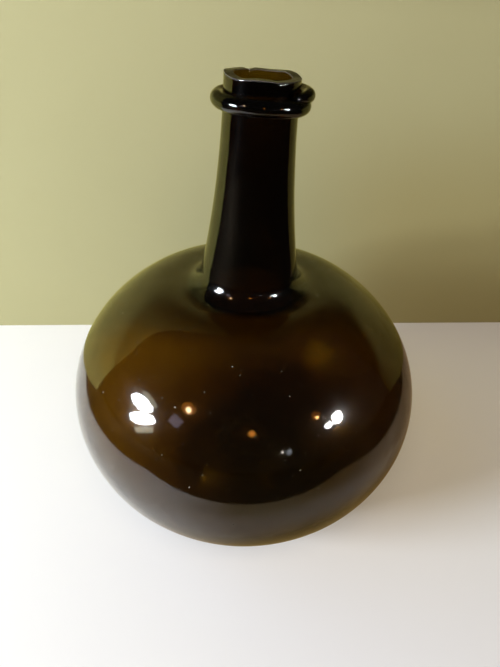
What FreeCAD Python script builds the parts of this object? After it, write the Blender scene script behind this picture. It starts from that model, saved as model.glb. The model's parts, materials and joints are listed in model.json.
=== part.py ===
"""Large globular storage bottle of dark blown glass, with a string rim and a kicked-up base.

Frame: millimetres, +Z up, origin on the table under the middle of the globe.
The neck leans slightly towards +X, and everything on it is set out in the neck's own frame,
whose origin is on the bottle's axis at the neck's seat.
"""
import FreeCAD, Part
import math
import os
import re
import Sketcher
from FreeCAD import Placement, Rotation, Vector

# Driving dimensions, in millimetres and degrees
SIZES = {
    # Globe: an oblate ball, its lower half run down to a flat-cut base and its crown sunk flat
    "globe_radius": 180.0,
    "globe_level": 135.0,
    "globe_rise": 145.6,
    "crown_drop": 20.1,
    "crown_round": 75.0,
    "base_radius": 78.0,
    "wall_side": 4.0,
    "wall_crown": 8.0,
    "wall_foot": 10.0,
    # Base: a narrow resting ring round a pushed-up kick
    "rest_width": 8.5,
    "kick_height": 38.0,
    "kick_wall": 11.0,
    "foot_round": 15.0,
    "kick_round": 5.0,
    "valley_round": 9.0,
    # Neck: its axis starts below the crown of the globe and leans
    "neck_seat_depth": 11.0,
    "neck_length": 190.5,
    "neck_lean": 1.5,
    "lip_radius": 29.5,
    "neck_foot_radius": 51.2,
    "bore_radius": 22.5,
    "cork_depth": 35.0,
    "bore_foot_radius": 38.6,
    "shoulder_round": 21.0,
    "throat_round": 12.0,
    # Lip: sheared off and chipped round its outer edge
    "chip_radius": 9.0,
    "chip_bite": 1.4,
    # String rim: one trail of glass wound round the neck, its end lapped over its start
    "string_drop": 17.3,
    "string_roll": 6.2,
    "string_stand": 4.5,
    "string_lap_rise": 5.4,
    "string_lap_reach": 1.6,
    # Scar: the broken ring of glass left inside the kick
    "scar_radius": 24.0,
    "scar_roll": 2.8,
    "scar_sink": 0.6,
    "scar_sweep": 300.0,
}

# Chips round the lip: each has its place as a share of a turn, anticlockwise from +X seen from
# above, and its size as a share of the chip
LIP_CHIP_SHARES = [(-0.167, 1.0), (-0.364, 0.8), (0.314, 0.9), (0.208, 0.6)]

# Trail of the string rim, clockwise from +X seen from above. Each row is a place in turns and,
# as shares, its rise above the front, how far it stands further out, and how thick the roll is.
# The first stretch runs from the blunt start round the front to the left of the neck.
TRAIL_START_SHARES = [
    (-0.070, -0.25, -0.50, 0.45),
    (-0.040, -0.25, -0.45, 0.72),
    (0.000, -0.24, -0.35, 0.86),
    (0.060, -0.22, -0.15, 0.96),
    (0.125, -0.16, 0.00, 1.00),
    (0.1875, -0.06, 0.00, 1.01),
    (0.250, 0.00, 0.00, 1.00),
    (0.3125, 0.00, -0.05, 1.00),
    (0.375, -0.02, -0.15, 1.00),
    (0.4375, -0.03, -0.30, 0.99),
    (0.500, -0.02, -0.40, 0.98),
]
# The second stretch climbs round the back and tapers out on top of the start.
TRAIL_FINISH_SHARES = [
    TRAIL_START_SHARES[-1],
    (0.5625, 0.02, -0.35, 0.98),
    (0.625, 0.10, -0.20, 0.97),
    (0.6875, 0.22, 0.00, 0.97),
    (0.750, 0.40, 0.15, 0.97),
    (0.8125, 0.58, 0.35, 0.96),
    (0.875, 0.78, 0.65, 0.95),
    (0.9375, 0.92, 0.90, 0.94),
    (1.000, 1.00, 1.00, 0.91),
    (1.040, 1.04, 0.85, 0.81),
    (1.080, 1.08, 0.40, 0.63),
    (1.115, 1.08, -0.20, 0.38),
]

doc = FreeCAD.newDocument("GlobularBottle")
sheet = doc.addObject("Spreadsheet::Sheet", "Sizes")
for row, (name, value) in enumerate(SIZES.items(), start=1):
    sheet.set(f"A{row}", name)
    sheet.set(f"B{row}", str(value))
    sheet.setAlias(f"B{row}", name)
doc.recompute()


def size(name):
    """The value of one driving dimension."""
    return float(sheet.get(name))


def expression(text):
    """An expression in which each driving dimension is read from the sheet."""
    return re.sub("[a-z_]+", lambda word: f"Sizes.{word[0]}" if word[0] in SIZES else word[0], text)


# Places worked out from the driving dimensions, as a value and as the same expression
FALL = "globe_level / sqrt(1 - (base_radius / globe_radius) ^ 2)"
CROWN = "globe_level + globe_rise - crown_drop"
SEAT = f"{CROWN} - neck_seat_depth"
KICK_RADIUS = "(base_radius - rest_width)"
KICK_BALL = f"(({KICK_RADIUS} ^ 2 + kick_height ^ 2) / (2 * kick_height))"
globe_fall = size("globe_level") / math.sqrt(1 - (size("base_radius") / size("globe_radius")) ** 2)
crown_level = size("globe_level") + size("globe_rise") - size("crown_drop")
inner_crown = crown_level - size("wall_crown")
seat_level = crown_level - size("neck_seat_depth")
kick_radius = size("base_radius") - size("rest_width")
kick_ball = (kick_radius ** 2 + size("kick_height") ** 2) / (2 * size("kick_height"))


def origin_plane(body, role):
    """One of a body's own origin planes, found by its role."""
    return next(feature for feature in body.Origin.OriginFeatures if feature.Role == role)


def profile_sketch(body, name, in_neck_frame=False):
    """A sketch in the body's front plane, upright or leaning with the neck."""
    sketch = body.newObject("Sketcher::SketchObject", name)
    sketch.AttachmentSupport = [(origin_plane(body, "XZ_Plane"), "")]
    sketch.MapMode = "FlatFace"
    if in_neck_frame:
        lean = Rotation(Vector(0, 0, -1), size("neck_lean"))
        sketch.AttachmentOffset = Placement(Vector(0, seat_level, 0), lean)
        sketch.setExpression(".AttachmentOffset.Base.y", expression(SEAT))
        sketch.setExpression(".AttachmentOffset.Rotation.Angle", expression("neck_lean"))
    return sketch


def drive(sketch, kind, ends, value, text):
    """Add a dimension to a sketch and bind it to the sheet."""
    index = sketch.addConstraint(Sketcher.Constraint(kind, *ends, value))
    sketch.setExpression(f"Constraints[{index}]", expression(text))


def tie(sketch, kind, *ends):
    """Add a geometric constraint to a sketch."""
    sketch.addConstraint(Sketcher.Constraint(kind, *ends))


# A sketch numbers the ends and centre of a line or arc from 1 up, and its own axes from -1 down
START, END, CENTRE = range(1, 4)
X_AXIS, Z_AXIS = range(-1, -3, -1)
ORIGIN = (X_AXIS, START)


def quarter(sketch, level, half_width, half_height, upper, start, end, width_text, height_text):
    """A stretch of an upright ellipse centred on the axis at the globe's level.

    Its angles run anticlockwise from the equator. A tall ellipse has its major axis upright.
    """
    centre = Vector(0, level, 0)
    tall = half_height > half_width
    if tall:
        ellipse = Part.Ellipse(centre + Vector(0, half_height, 0), centre - Vector(half_width, 0, 0), centre)
        turn = -math.pi / 2
    else:
        ellipse = Part.Ellipse(centre, half_width, half_height)
        turn = 0.0
    arc = sketch.addGeometry(Part.ArcOfEllipse(ellipse, start + turn, end + turn), False)
    sketch.exposeInternalGeometry(arc)
    major, minor = arc + 1, arc + 2
    across, upright = (minor, major) if tall else (major, minor)
    tie(sketch, "PointOnObject", arc, CENTRE, Z_AXIS)
    tie(sketch, "Horizontal", across)
    drive(sketch, "DistanceY", (*ORIGIN, arc, CENTRE), level, "globe_level")
    drive(sketch, "Distance", (across,), 2 * half_width, f"2 * ({width_text})")
    drive(sketch, "Distance", (upright,), 2 * half_height, f"2 * ({height_text})")
    tie(sketch, "Horizontal", arc, START if upper else END, arc, CENTRE)
    return arc


def revolve(body, kind, sketch, name):
    """Turn a sketch a full turn about its own upright axis, as glass or as a hollow."""
    feature = body.newObject(f"PartDesign::{kind}", name)
    feature.Profile = sketch
    feature.ReferenceAxis = (sketch, ["V_Axis"])
    feature.Angle = 360.0
    doc.recompute()
    return feature


def close_profile(sketch, points, first, last):
    """Close a profile with straight lines through the points, from one end to the other."""
    lines = []
    for here, there in zip(points, points[1:]):
        lines.append(sketch.addGeometry(Part.LineSegment(Vector(*here, 0), Vector(*there, 0)), False))
    tie(sketch, "Coincident", lines[0], START, *first)
    tie(sketch, "Coincident", lines[-1], END, *last)
    for line, following in zip(lines, lines[1:]):
        tie(sketch, "Coincident", line, END, following, START)
    return lines


def crown_edge(half_width, half_height, crown):
    """Where an ellipse at the globe's level is cut flat: the angle on it, and the radius there."""
    angle = math.asin((crown - size("globe_level")) / half_height)
    return angle, half_width * math.cos(angle)


def make_globe(body):
    """The solid globe, cut flat where it stands and round the neck."""
    level = size("globe_level")
    radius = size("globe_radius")
    rise = size("globe_rise")
    foot = size("base_radius")
    sketch = profile_sketch(body, "GlobeProfile")
    foot_angle = -math.acos(foot / radius)
    top_angle, top_radius = crown_edge(radius, rise, crown_level)
    upper = quarter(sketch, level, radius, rise, True, 0, top_angle, "globe_radius", "globe_rise")
    drive(sketch, "DistanceY", (*ORIGIN, upper, END), crown_level, CROWN)
    lower = quarter(sketch, level, radius, globe_fall, False, foot_angle, 0, "globe_radius", FALL)
    tie(sketch, "PointOnObject", lower, START, X_AXIS)
    corners = [(top_radius, crown_level), (0, crown_level), (0, 0), (foot, 0)]
    lines = close_profile(sketch, corners, (upper, END), (lower, START))
    tie(sketch, "Horizontal", lines[0])
    tie(sketch, "PointOnObject", lines[0], END, Z_AXIS)
    tie(sketch, "Coincident", lines[1], END, *ORIGIN)
    return revolve(body, "Revolution", sketch, "Globe")


def flare(sketch, top_radius, foot_radius, top, foot, texts):
    """A neck profile: straight down its axis, with a side that flares from upright at its top."""
    run = top - foot
    bulge = foot_radius - top_radius
    turn_radius = (bulge ** 2 + run ** 2) / (2 * bulge)
    centre = Vector(top_radius + turn_radius, top, 0)
    sweep = math.asin(run / turn_radius)
    circle = Part.Circle(centre, Vector(0, 0, 1), turn_radius)
    side = sketch.addGeometry(Part.ArcOfCircle(circle, math.pi, math.pi + sweep), False)
    tie(sketch, "Horizontal", side, START, side, CENTRE)
    drive(sketch, "DistanceX", (*ORIGIN, side, START), top_radius, texts[0])
    drive(sketch, "DistanceX", (*ORIGIN, side, END), foot_radius, texts[1])
    drive(sketch, "DistanceY", (*ORIGIN, side, START), top, texts[2])
    return side


def make_neck(body):
    """The solid neck, flaring down into the shoulder."""
    length = size("neck_length")
    lip = size("lip_radius")
    foot = size("neck_foot_radius")
    sketch = profile_sketch(body, "NeckProfile", True)
    side = flare(sketch, lip, foot, length, 0, ("lip_radius", "neck_foot_radius", "neck_length"))
    tie(sketch, "PointOnObject", side, END, X_AXIS)
    corners = [(foot, 0), (0, 0), (0, length), (lip, length)]
    lines = close_profile(sketch, corners, (side, END), (side, START))
    tie(sketch, "Coincident", lines[0], END, *ORIGIN)
    tie(sketch, "Vertical", lines[1])
    tie(sketch, "Horizontal", lines[2])
    return revolve(body, "Revolution", sketch, "Neck")


def make_hollow(body):
    """The hollow of the globe, whose floor rises over the kick."""
    level = size("globe_level")
    half_width = size("globe_radius") - size("wall_side")
    rise = size("globe_rise") - size("wall_crown")
    fall = globe_fall - size("wall_foot")
    ball = kick_ball + size("kick_wall")
    ball_level = size("kick_height") - kick_ball
    low, high = -math.pi / 2, 0.0
    for halving in range(40):
        middle = (low + high) / 2
        across = half_width * math.cos(middle)
        up = level + fall * math.sin(middle) - ball_level
        if math.hypot(across, up) > ball:
            high = middle
        else:
            low = middle
    sketch = profile_sketch(body, "HollowProfile")
    width_text = "globe_radius - wall_side"
    rise_text = "globe_rise - wall_crown"
    top_angle, top_radius = crown_edge(half_width, rise, inner_crown)
    upper = quarter(sketch, level, half_width, rise, True, 0, top_angle, width_text, rise_text)
    drive(sketch, "DistanceY", (*ORIGIN, upper, END), inner_crown, f"{CROWN} - wall_crown")
    lower = quarter(sketch, level, half_width, fall, False, low, 0, width_text, f"{FALL} - wall_foot")
    valley_x = half_width * math.cos(low)
    valley_z = level + fall * math.sin(low)
    turn = math.atan2(valley_z - ball_level, valley_x)
    circle = Part.Circle(Vector(0, ball_level, 0), Vector(0, 0, 1), ball)
    floor = sketch.addGeometry(Part.ArcOfCircle(circle, turn, math.pi / 2), False)
    tie(sketch, "PointOnObject", floor, CENTRE, Z_AXIS)
    tie(sketch, "PointOnObject", floor, END, Z_AXIS)
    tie(sketch, "Coincident", floor, START, lower, START)
    drive(sketch, "Radius", (floor,), ball, f"{KICK_BALL} + kick_wall")
    top_of_floor = size("kick_height") + size("kick_wall")
    drive(sketch, "DistanceY", (*ORIGIN, floor, END), top_of_floor, "kick_height + kick_wall")
    points = [(0, top_of_floor), (0, inner_crown), (top_radius, inner_crown)]
    lines = close_profile(sketch, points, (floor, END), (upper, END))
    tie(sketch, "PointOnObject", lines[0], END, Z_AXIS)
    tie(sketch, "Horizontal", lines[1])
    return revolve(body, "Groove", sketch, "Hollow")


def make_bore(body):
    """The bore: straight where a cork sits, then widening down into the globe."""
    length = size("neck_length")
    bore = size("bore_radius")
    foot = size("bore_foot_radius")
    cork_end = length - size("cork_depth")
    sketch = profile_sketch(body, "BoreProfile", True)
    texts = ("bore_radius", "bore_foot_radius", "neck_length - cork_depth")
    side = flare(sketch, bore, foot, cork_end, 0, texts)
    tie(sketch, "PointOnObject", side, END, X_AXIS)
    corners = [(foot, 0), (0, 0), (0, length), (bore, length), (bore, cork_end)]
    lines = close_profile(sketch, corners, (side, END), (side, START))
    tie(sketch, "Coincident", lines[0], END, *ORIGIN)
    tie(sketch, "Vertical", lines[1])
    tie(sketch, "Horizontal", lines[2])
    tie(sketch, "Vertical", lines[3])
    drive(sketch, "DistanceY", (*ORIGIN, lines[2], END), length, "neck_length")
    return revolve(body, "Groove", sketch, "Bore")


def make_kick(body):
    """The pushed-up kick under the base, part of a ball."""
    radius = kick_radius
    height = size("kick_height")
    sketch = profile_sketch(body, "KickProfile")
    circle = Part.Circle(Vector(0, height - kick_ball, 0), Vector(0, 0, 1), kick_ball)
    turn = math.atan2(kick_ball - height, radius)
    dome = sketch.addGeometry(Part.ArcOfCircle(circle, turn, math.pi / 2), False)
    tie(sketch, "PointOnObject", dome, START, X_AXIS)
    tie(sketch, "PointOnObject", dome, CENTRE, Z_AXIS)
    tie(sketch, "PointOnObject", dome, END, Z_AXIS)
    drive(sketch, "DistanceX", (*ORIGIN, dome, START), radius, KICK_RADIUS)
    drive(sketch, "DistanceY", (*ORIGIN, dome, END), height, "kick_height")
    lines = close_profile(sketch, [(0, height), (0, 0), (radius, 0)], (dome, END), (dome, START))
    tie(sketch, "Coincident", lines[0], END, *ORIGIN)
    return revolve(body, "Groove", sketch, "Kick")


def edge_near(shape, radius, level):
    """The name of the closed edge round the axis that lies nearest to a radius and a height."""
    best = None
    for index, edge in enumerate(shape.Edges, start=1):
        point = edge.valueAt((edge.FirstParameter + edge.LastParameter) / 2)
        miss = math.hypot(math.hypot(point.x, point.y) - radius, point.z - level)
        if edge.isClosed() and (best is None or miss < best[0]):
            best = (miss, f"Edge{index}")
    return best[1]


def round_edge(body, name, radius, level, text):
    """Round the edge near a place with a radius worked out from the sheet."""
    base = body.Tip
    feature = body.newObject("PartDesign::Fillet", name)
    feature.Base = (base, [edge_near(base.Shape, radius, level)])
    feature.setExpression("Radius", expression(text))
    doc.recompute()
    return feature


def place(item, frame, texts):
    """Bind a place to the sheet, one expression for each of X, Y and Z."""
    for axis, text in zip("xyz", texts):
        item.setExpression(f".{frame}.Base.{axis}", expression(text))


def chip_lip(body, turns, share, name):
    """Scoop a shell-shaped chip out of the lip's outer edge."""
    azimuth = 360 * turns
    off = f"(chip_radius - chip_bite) * {share} * sqrt(0.5)"
    out = f"(lip_radius + {off})"
    up = f"(neck_length + {off})"
    scoop = body.newObject("PartDesign::SubtractiveSphere", name)
    scoop.AttachmentSupport = [(origin_plane(body, "XY_Plane"), "")]
    scoop.MapMode = "FlatFace"
    scoop.setExpression("Radius", expression(f"chip_radius * {share}"))
    across = f"{out} * cos({azimuth})"
    place(scoop, "AttachmentOffset", (
        f"{across} * cos(neck_lean) + {up} * sin(neck_lean)",
        f"{out} * sin({azimuth})",
        f"{SEAT} + {up} * cos(neck_lean) - {across} * sin(neck_lean)",
    ))
    doc.recompute()
    return scoop


def make_blown_body():
    """The bottle: one gather of glass, blown hollow, kicked up underneath and sheared at the lip."""
    body = doc.addObject("PartDesign::Body", "BlownBody")
    body.Label = "blown_body"
    make_globe(body)
    top_radius = crown_edge(size("globe_radius"), size("globe_rise"), crown_level)[1]
    round_edge(body, "Crown", top_radius, crown_level, "crown_round")
    make_neck(body)
    round_edge(body, "Shoulder", size("neck_foot_radius"), crown_level, "shoulder_round")
    make_hollow(body)
    round_edge(body, "InnerCrown", top_radius, inner_crown, "crown_round - wall_crown")
    make_bore(body)
    round_edge(body, "Throat", size("bore_foot_radius"), inner_crown, "throat_round")
    valley = size("wall_foot")
    round_edge(body, "Valley", size("base_radius"), valley, "valley_round")
    make_kick(body)
    round_edge(body, "KickRim", kick_radius, 0, "kick_round")
    round_edge(body, "FootRim", size("base_radius"), 0, "foot_round")
    for number, (turns, share) in enumerate(LIP_CHIP_SHARES, start=1):
        chip_lip(body, turns, share, f"LipChip{number}")
    return body


def trail_station(name, turns, rise, reach, thickness):
    """One cross-section of the string rim's trail, square to its run round the neck."""
    azimuth = -360 * turns
    out = f"(lip_radius + string_stand + {reach} * string_lap_reach)"
    circle = doc.addObject("Part::Circle", name)
    circle.setExpression("Radius", expression(f"string_roll * {thickness}"))
    round_the_neck = Rotation(Vector(0, 0, 1), azimuth)
    circle.Placement = Placement(Vector(), round_the_neck.multiply(Rotation(Vector(1, 0, 0), 90)))
    place(circle, "Placement", (
        f"{out} * cos({azimuth})",
        f"{out} * sin({azimuth})",
        f"neck_length - string_drop + {rise} * string_lap_rise",
    ))
    return circle


def make_string_rim(blown_body):
    """The trail: wound on in two stretches that meet at the left, and trimmed to the neck's wall."""
    stretches = []
    for name, rows in (("TrailStart", TRAIL_START_SHARES), ("TrailFinish", TRAIL_FINISH_SHARES)):
        stretch = doc.addObject("Part::Loft", name)
        stations = []
        for number, row in enumerate(rows, start=1):
            stations.append(trail_station(f"{name}Station{number}", *row))
        stretch.Sections = stations
        stretch.Solid = True
        stretches.append(stretch)
    trail = doc.addObject("Part::Fuse", "Trail")
    trail.Base, trail.Tool = stretches
    trail.Placement = Placement(Vector(0, 0, seat_level), Rotation(Vector(0, 1, 0), size("neck_lean")))
    trail.setExpression(".Placement.Base.z", expression(SEAT))
    trail.setExpression(".Placement.Rotation.Angle", expression("neck_lean"))
    rim = doc.addObject("Part::Cut", "StringRim")
    rim.Label = "string_rim"
    rim.Base = trail
    rim.Tool = blown_body
    return rim


def make_pontil_scar(blown_body):
    """The scar: a broken ring of glass standing proud of the kick's roof."""
    radius = size("scar_radius")
    roof = size("kick_height") - kick_ball + math.sqrt(kick_ball ** 2 - radius ** 2)
    ring = doc.addObject("Part::Torus", "ScarRing")
    for key, name in (("Radius1", "scar_radius"), ("Radius2", "scar_roll"), ("Angle3", "scar_sweep")):
        ring.setExpression(key, expression(name))
    ring.Placement = Placement(Vector(0, 0, roof - size("scar_sink")), Rotation())
    place = f"kick_height - {KICK_BALL} + sqrt({KICK_BALL} ^ 2 - scar_radius ^ 2) - scar_sink"
    ring.setExpression(".Placement.Base.z", expression(place))
    scar = doc.addObject("Part::Cut", "PontilScar")
    scar.Label = "pontil_scar"
    scar.Base = ring
    scar.Tool = blown_body
    return scar


blown_body = make_blown_body()
pieces = [blown_body, make_string_rim(blown_body), make_pontil_scar(blown_body)]
doc.recompute()

for item in doc.Objects:
    if "Invalid" in item.State or "Error" in item.State:
        raise RuntimeError(f"{item.Name} failed: {item.State}")
for piece in pieces:
    if piece.Shape.isNull() or not piece.Shape.isValid() or len(piece.Shape.Solids) != 1:
        raise RuntimeError(f"{piece.Label} isn't one valid solid")

os.makedirs("parts", exist_ok=True)
for piece in pieces:
    piece.Shape.exportStep(f"parts/{piece.Label}.step")
    print(piece.Label, "holds", round(piece.Shape.Volume), "cubic millimetres of glass")
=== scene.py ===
"""A large free-blown globular bottle: its glass, its string rim and its scar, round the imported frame.

The globe and neck are one wall of glass turned from a profile, so light passes the outer skin, the
glass and the inner skin as it does in the real one. The bottle's sizes and tables are in
millimetres, and those of the stage are in metres.
"""
import json
import math

import bpy
import numpy as np
from mathutils import Matrix, Vector


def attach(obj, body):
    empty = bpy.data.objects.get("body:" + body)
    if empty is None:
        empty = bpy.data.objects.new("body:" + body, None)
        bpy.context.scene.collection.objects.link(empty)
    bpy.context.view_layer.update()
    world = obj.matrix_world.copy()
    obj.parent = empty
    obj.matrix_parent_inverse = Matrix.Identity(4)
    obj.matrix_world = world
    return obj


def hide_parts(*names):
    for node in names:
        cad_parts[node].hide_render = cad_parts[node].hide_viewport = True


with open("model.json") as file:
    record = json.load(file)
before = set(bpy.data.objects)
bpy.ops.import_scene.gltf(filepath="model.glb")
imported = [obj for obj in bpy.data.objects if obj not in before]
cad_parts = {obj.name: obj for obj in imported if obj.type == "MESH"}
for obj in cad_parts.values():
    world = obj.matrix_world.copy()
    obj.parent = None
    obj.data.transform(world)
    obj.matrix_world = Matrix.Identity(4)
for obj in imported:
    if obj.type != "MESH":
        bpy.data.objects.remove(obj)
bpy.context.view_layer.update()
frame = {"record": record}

MM = 0.001

# The mouth's mount gives the neck's axis, its bore and its length above the seat
mouth = next(mount for mount in frame["record"]["mounts"] if mount["name"] == "mouth")
NECK_AXIS = Vector(mouth["axis"]).normalized()
NECK_LEAN = math.asin(NECK_AXIS.x)
BORE_RADIUS = mouth["dims"]["r_mm"]
CORK_DEPTH = mouth["dims"]["length_mm"]
SEAT_LEVEL = (mouth["pos_m"][2] - NECK_AXIS.z * mouth["pos_m"][0] / NECK_AXIS.x) / MM
NECK_LENGTH = (mouth["pos_m"][2] / MM - SEAT_LEVEL) / NECK_AXIS.z + CORK_DEPTH / 2
LIP_LEVEL = SEAT_LEVEL + NECK_LENGTH

# The globe is an oblate ball with a flat crown, its wall thin at the side and thick elsewhere
GLOBE_RADIUS = 180.0
GLOBE_LEVEL = 135.0
GLOBE_RISE = 145.6
CROWN_LEVEL = 260.5
CROWN_ROUND = 75.0
BASE_RADIUS = 78.0
GLOBE_FALL = GLOBE_LEVEL / math.sqrt(1 - (BASE_RADIUS / GLOBE_RADIUS) ** 2)
WALL_SIDE = 4.0
WALL_CROWN = 8.0
WALL_FOOT = 10.0

# The kick is part of a ball pushed up into the base
REST_WIDTH = 8.5
KICK_HEIGHT = 38.0
KICK_WALL = 11.0
KICK_RADIUS = BASE_RADIUS - REST_WIDTH
KICK_BALL = (KICK_RADIUS ** 2 + KICK_HEIGHT ** 2) / (2 * KICK_HEIGHT)
KICK_BALL_LEVEL = KICK_HEIGHT - KICK_BALL

# The neck's side and its bore flare down into the shoulder
LIP_RADIUS = 29.5
NECK_FOOT_RADIUS = 51.2
BORE_FOOT_RADIUS = 38.6
SHOULDER_ROUND = 21.0
THROAT_ROUND = 12.0
FLARE_OVERRUN = 20.0
LEAN_START = CROWN_LEVEL - 4
LEAN_END = CROWN_LEVEL + 28

# Rounds of the wall: into the kick outside, up from the resting ring, and into the kick inside
KICK_FOOT_ROUND = 5.0
REST_ROUND = 15.0
HOLLOW_FOOT_ROUND = 9.0

# Steps of the profile: fine at the lip, longer away from it, and no sharper a turn than this
LIP_STEP = 0.9
LONGEST_STEP = 6.0
STEP_GROWTH_SHARE = 0.08
STEP_TURN = math.radians(6)

# Chips round the lip: anticlockwise from +X seen from above in degrees, and the scoop's radius
CHIP_DEPTH_SHARE = 0.155
LIP_CHIPS = [(-60.1, 9.0), (-131.0, 7.2), (113.0, 8.1), (74.9, 5.4)]

# The sheared lip: how far down it was still soft, how far down it is frosted, and its height
# round the mouth, as degrees from +X and millimetres above its mean
LIP_SOFT_DEPTH = 9.0
LIP_FROST_DEPTH = 0.6
LIP_HEIGHTS = [
    (-152, -0.2), (-130, -1.1), (-100, 0.3), (-78, 0.0), (-65, -0.9), (-50, -0.8), (-28, -0.8),
    (7, -1.0), (27, 0.4), (44, 1.0), (61, 0.2), (83, -0.2), (101, 0.2), (114, -0.8), (122, 0.3),
    (141, 0.3), (183, 1.2),
]

# The trail of the string rim: degrees clockwise from +X seen from above, its rise above the
# front, how far it stands further out, and the radius of its roll
TRAIL_LEVEL = NECK_LENGTH - 17.3
TRAIL_RADIUS = 34.0
TRAIL = [
    (-27.5, -1.4, -0.9, 1.2), (-25.2, -1.4, -0.8, 2.8), (-14.4, -1.4, -0.7, 4.5),
    (0, -1.3, -0.6, 5.3), (21.6, -1.2, -0.2, 6.0), (45, -0.9, 0, 6.2), (67.5, -0.3, 0, 6.3),
    (90, 0, 0, 6.2), (112.5, 0, -0.1, 6.2), (135, -0.1, -0.2, 6.2), (157.5, -0.2, -0.5, 6.1),
    (180, -0.1, -0.6, 6.1), (202.5, 0.1, -0.6, 6.1), (225, 0.5, -0.3, 6.0), (247.5, 1.2, 0, 6.0),
    (270, 2.2, 0.2, 6.0), (292.5, 3.1, 0.6, 6.0), (315, 4.2, 1.0, 5.9), (337.5, 5.0, 1.4, 5.8),
    (360, 5.4, 1.6, 5.6), (374.4, 5.6, 1.4, 5.0), (388.8, 5.8, 0.6, 3.9), (401.4, 5.8, -0.3, 2.4),
    (406, 5.6, -0.9, 1.0),
]

# The scar: the broken ring of glass left inside the kick
SCAR_RADIUS = 24.0
SCAR_ROLL = 2.8
SCAR_SWEEP = 300.0
SCAR_DROP = 0.6


def paint(code):
    """A colour written as an sRGB hex value, as the linear colour that a node takes."""
    shares = [int(code[place:place + 2], 16) / 255 for place in (1, 3, 5)]
    linear = [s / 12.92 if s <= 0.04045 else ((s + 0.055) / 1.055) ** 2.4 for s in shares]
    return (*linear, 1.0)


def per(width):
    """The scale of a pattern whose features are so many millimetres wide."""
    return 1 / (width * MM)


def node(tree, kind, links=None, **settings):
    """Add a node with its settings, and give each input named or numbered a value or a link."""
    made = tree.nodes.new(kind)
    for name, value in settings.items():
        setattr(made, name, value)
    for key, value in (links or {}).items():
        if isinstance(key, int):
            socket = made.inputs[key]
        else:
            socket = next(s for s in made.inputs if s.enabled and s.name == key)
        if isinstance(value, bpy.types.Node):
            value = next(s for s in value.outputs if s.enabled)
        if isinstance(value, bpy.types.NodeSocket):
            tree.links.new(value, socket)
        else:
            socket.default_value = value
    return made


def new_material(name):
    """An empty material, and its node tree."""
    material = bpy.data.materials.new(name)
    material.use_nodes = True
    material.node_tree.nodes.clear()
    return material, material.node_tree


# Profile of the glass wall

def arc(centre, radii, start, end):
    """A stretch of an ellipse in the profile's plane, finely divided. Its angles are in radians."""
    turns = np.linspace(start, end, 400)
    across = centre[0] + radii[0] * np.cos(turns)
    return np.column_stack((across, centre[1] + radii[1] * np.sin(turns)))


def straight(start, end):
    """A straight stretch of the profile."""
    return np.linspace(start, end, 60)


def flare(top_radius, foot_radius, top, foot, overrun):
    """The side of a neck, upright at its top, from its top down to past its foot."""
    bulge = foot_radius - top_radius
    run = top - foot
    turn_radius = (bulge ** 2 + run ** 2) / (2 * bulge)
    levels = np.linspace(top, foot - overrun, 400)
    across = top_radius + turn_radius - np.sqrt(turn_radius ** 2 - (top - levels) ** 2)
    return np.column_stack((across, levels))


def beside(line, distance):
    """A line moved sideways by a distance, to the left of its run."""
    run = np.gradient(line, axis=0)
    run /= np.linalg.norm(run, axis=1)[:, None]
    return line + distance * np.column_stack((-run[:, 1], run[:, 0]))


def crossing(first, second):
    """Where two lines cross, as a place along each, in steps of that line."""
    step_a = np.diff(first, axis=0)[:, None]
    step_b = np.diff(second, axis=0)[None]
    gap = second[None, :-1] - first[:-1, None]
    area = step_a[..., 0] * step_b[..., 1] - step_a[..., 1] * step_b[..., 0]
    area = np.where(np.abs(area) < 1e-12, 1e-12, area)
    share_a = (gap[..., 0] * step_b[..., 1] - gap[..., 1] * step_b[..., 0]) / area
    share_b = (gap[..., 0] * step_a[..., 1] - gap[..., 1] * step_a[..., 0]) / area
    inside = (share_a >= 0) & (share_a < 1) & (share_b >= 0) & (share_b < 1)
    a, b = np.argwhere(inside)[0]
    return a + share_a[a, b], b + share_b[a, b]


def at(line, place):
    """The point of a line at a place along it, in steps."""
    index = int(place)
    return line[index] + (place - index) * (line[index + 1] - line[index])


def rounded(stretches, radii):
    """The stretches trimmed to each other, with an arc between each pair that has a radius.

    A radius is negative where the corner is hollow, so that its arc lies outside the glass.
    """
    pieces = []
    current = stretches[0]
    for following, radius in zip(stretches[1:], radii):
        if not radius:
            pieces.append(current)
            current = following
            continue
        place_a, place_b = crossing(beside(current, radius), beside(following, radius))
        centre = at(beside(current, radius), place_a)
        start, end = at(current, place_a), at(following, place_b)
        first = math.atan2(*(start - centre)[::-1])
        turn = math.atan2(*(end - centre)[::-1]) - first
        turn = (turn + math.pi) % (2 * math.pi) - math.pi
        pieces.append(np.vstack((current[:int(place_a) + 1], start)))
        pieces.append(arc(centre, (abs(radius), abs(radius)), first, first + turn))
        current = np.vstack((end, following[int(place_b) + 1:]))
    pieces.append(current)
    return pieces


def evenly(line):
    """A line divided again: finely at the lip, and elsewhere by its length and its turn."""
    steps = np.diff(line, axis=0)
    lengths = np.linalg.norm(steps, axis=1)
    keep = lengths > 1e-9
    steps, lengths = steps[keep], lengths[keep]
    line = np.vstack((line[:-1][keep], line[-1]))
    headings = np.unwrap(np.arctan2(steps[:, 1], steps[:, 0]))
    turning = np.abs(np.diff(headings, append=headings[-1]))
    reach = LIP_STEP + STEP_GROWTH_SHARE * (LIP_LEVEL - line[:-1, 1])
    reach = np.clip(reach, LIP_STEP, LONGEST_STEP)
    measure = np.concatenate(([0], np.cumsum(lengths / reach + turning / STEP_TURN)))
    places = np.linspace(0, measure[-1], max(2, math.ceil(measure[-1]) + 1))
    return np.column_stack([np.interp(places, measure, line[:, side]) for side in (0, 1)])


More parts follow.
